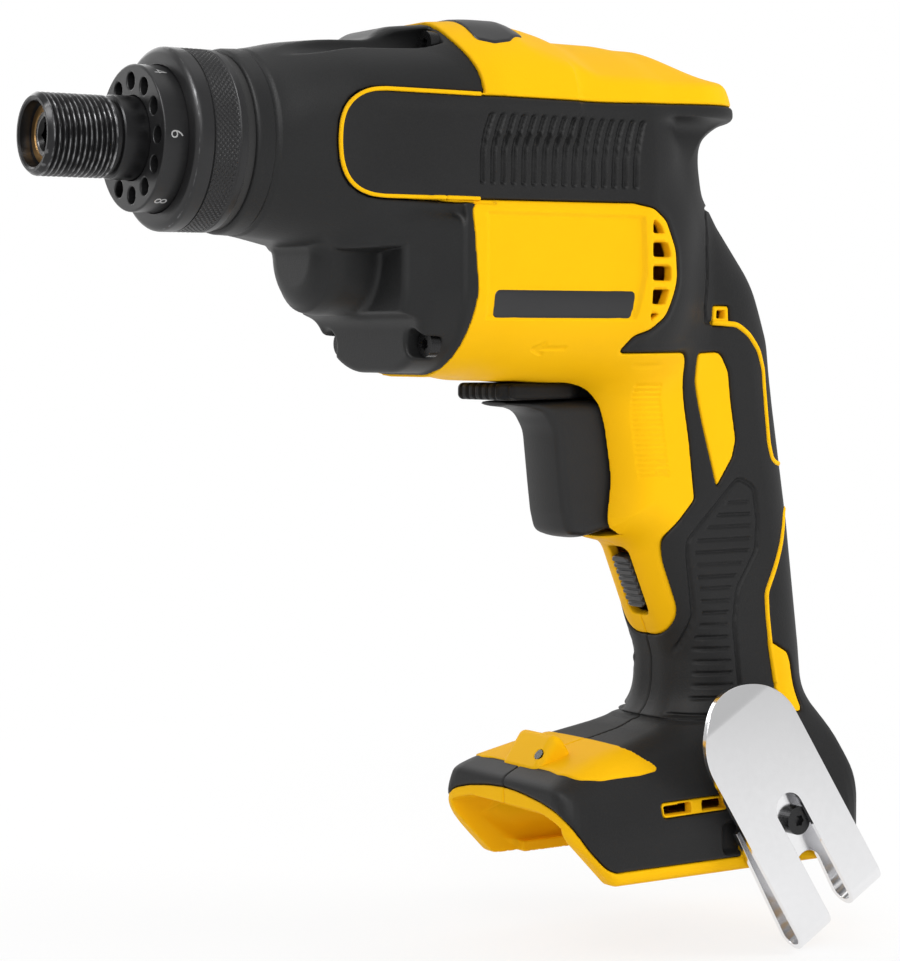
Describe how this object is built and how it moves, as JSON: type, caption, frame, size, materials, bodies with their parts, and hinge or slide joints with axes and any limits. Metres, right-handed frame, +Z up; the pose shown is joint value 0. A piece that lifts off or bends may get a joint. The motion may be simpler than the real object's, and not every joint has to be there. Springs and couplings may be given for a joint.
{
  "type": "cordless screwgun",
  "caption": "Pistol-grip cordless screwgun with a threaded nose, numbered clutch dial, trigger, reverse lever, belt hook and an open battery foot, shown as a bare tool.",
  "frame": {"origin": "centre of the nose's front rim on the spindle axis", "axes": "+X rearwards along the spindle, +Z up, the tool's left side is -Y"},
  "size_m": [0.262, 0.0824, 0.2724],
  "materials": {
    "black_oxide_steel": "black oxide, semi gloss",
    "bright_steel": "turned and ground",
    "chrome_strip": "polished",
    "bronze": "sintered bronze, oiled",
    "copper": "enamelled wire",
    "black_casting": "fine textured black",
    "collar_aluminium": "black anodised",
    "alloy": "machined",
    "motor_laminations": "stacked sheets",
    "yellow_housing": "fine moulded texture",
    "black_plastic": "fine moulded texture",
    "grip_rubber": "matt",
    "clear_lens": "clear",
    "board_green": "solder mask",
    "lead_sleeve": "insulation",
    "plain_label": "printed film, left bare"
  },
  "bodies": {
    "tool_body": {"nose_sleeve": "black_oxide_steel", "nose_bush": "bronze", "spindle_needle_bearing": "bright_steel", "dial_plate": "collar_aluminium", "collar_seal": "grip_rubber", "clutch_spring": "bright_steel", "pressure_plate": "bright_steel", "spindle_return_spring": "bright_steel", "pinion_bush": "bronze", "bearing_plate": "alloy", "spindle_bearing": "bright_steel", "motor_front_bearing": "bright_steel", "motor_rear_bearing": "bright_steel", "stator_core": "motor_laminations", "stator_windings": "copper", "hall_board": "board_green", "gearcase": "black_casting", "gearcase_screws": "black_oxide_steel", "left_housing": "yellow_housing", "right_housing": "yellow_housing", "housing_screws": "black_oxide_steel", "left_overmould": "grip_rubber", "right_overmould": "grip_rubber", "trigger_spring": "bright_steel", "switch_module": "black_plastic", "control_module": "black_plastic", "motor_leads": "lead_sleeve", "battery_leads": "lead_sleeve", "terminal_block": "black_plastic", "battery_contacts": "bronze", "lamp_cover": "yellow_housing", "lamp_lens": "clear_lens", "lamp_board": "board_green", "foot_label": "yellow_housing", "side_labels": "plain_label", "top_label": "plain_label", "belt_hook": "chrome_strip", "hook_screw": "black_oxide_steel", "hook_inserts": "bronze"},
    "trigger_body": {"trigger": "black_plastic"},
    "reverse_body": {"reverse_lever": "black_plastic"},
    "lock_body": {"lock_slider": "black_plastic"},
    "collar_body": {"clutch_collar": "collar_aluminium"},
    "nut_body": {"clutch_nut": "bronze"},
    "drive_body": {"drive_gear": "bright_steel", "drive_shaft": "bright_steel", "ball_cage": "bronze", "clutch_balls": "bright_steel"},
    "spindle_body": {"spindle": "bright_steel", "bit_magnet": "bright_steel"},
    "rotor_body": {"motor_shaft": "bright_steel", "rotor_core": "motor_laminations", "pinion": "bright_steel", "motor_fan": "black_plastic"}
  },
  "joints": [
    {"name": "trigger_pull", "type": "slide", "parent": "tool_body", "child": "trigger_body", "axis": [1, 0, 0], "range_m": [0, 0.006], "stiffness_N_per_m": 900, "springref_m": -0.004, "deforming": ["trigger_spring"]},
    {"name": "reverse_lever_swing", "type": "hinge", "parent": "tool_body", "child": "reverse_body", "pos_m": [0.184, 0, -0.0666], "axis": [0, 0, 1], "range_deg": [-7, 7]},
    {"name": "lock_slide", "type": "slide", "parent": "tool_body", "child": "lock_body", "axis": [-0.4033, 0, 0.9151], "range_m": [0, 0.003]},
    {"name": "clutch_turn", "type": "hinge", "parent": "tool_body", "child": "collar_body", "pos_m": [0.043, 0, 0], "axis": [1, 0, 0], "range_deg": [0, 330]},
    {"name": "clutch_nut_slide", "type": "slide", "parent": "tool_body", "child": "nut_body", "axis": [1, 0, 0], "range_m": [0, 0.004], "deforming": ["clutch_spring"]},
    {"name": "drive_spin", "type": "hinge", "parent": "tool_body", "child": "drive_body", "pos_m": [0.105, 0, 0], "axis": [1, 0, 0], "continuous": true},
    {"name": "spindle_push", "type": "slide", "parent": "drive_body", "child": "spindle_body", "axis": [1, 0, 0], "range_m": [0, 0.0045], "stiffness_N_per_m": 600, "springref_m": -0.003, "deforming": ["spindle_return_spring"]},
    {"name": "motor_spin", "type": "hinge", "parent": "tool_body", "child": "rotor_body", "pos_m": [0.15, 0, -0.03], "axis": [1, 0, 0], "continuous": true}
  ],
  "couplings": [
    {"joint": "clutch_nut_slide", "follows": "clutch_turn", "m_per_rad": 0.00069443},
    {"joint": "motor_spin", "follows": "drive_spin", "ratio": -3}
  ]
}
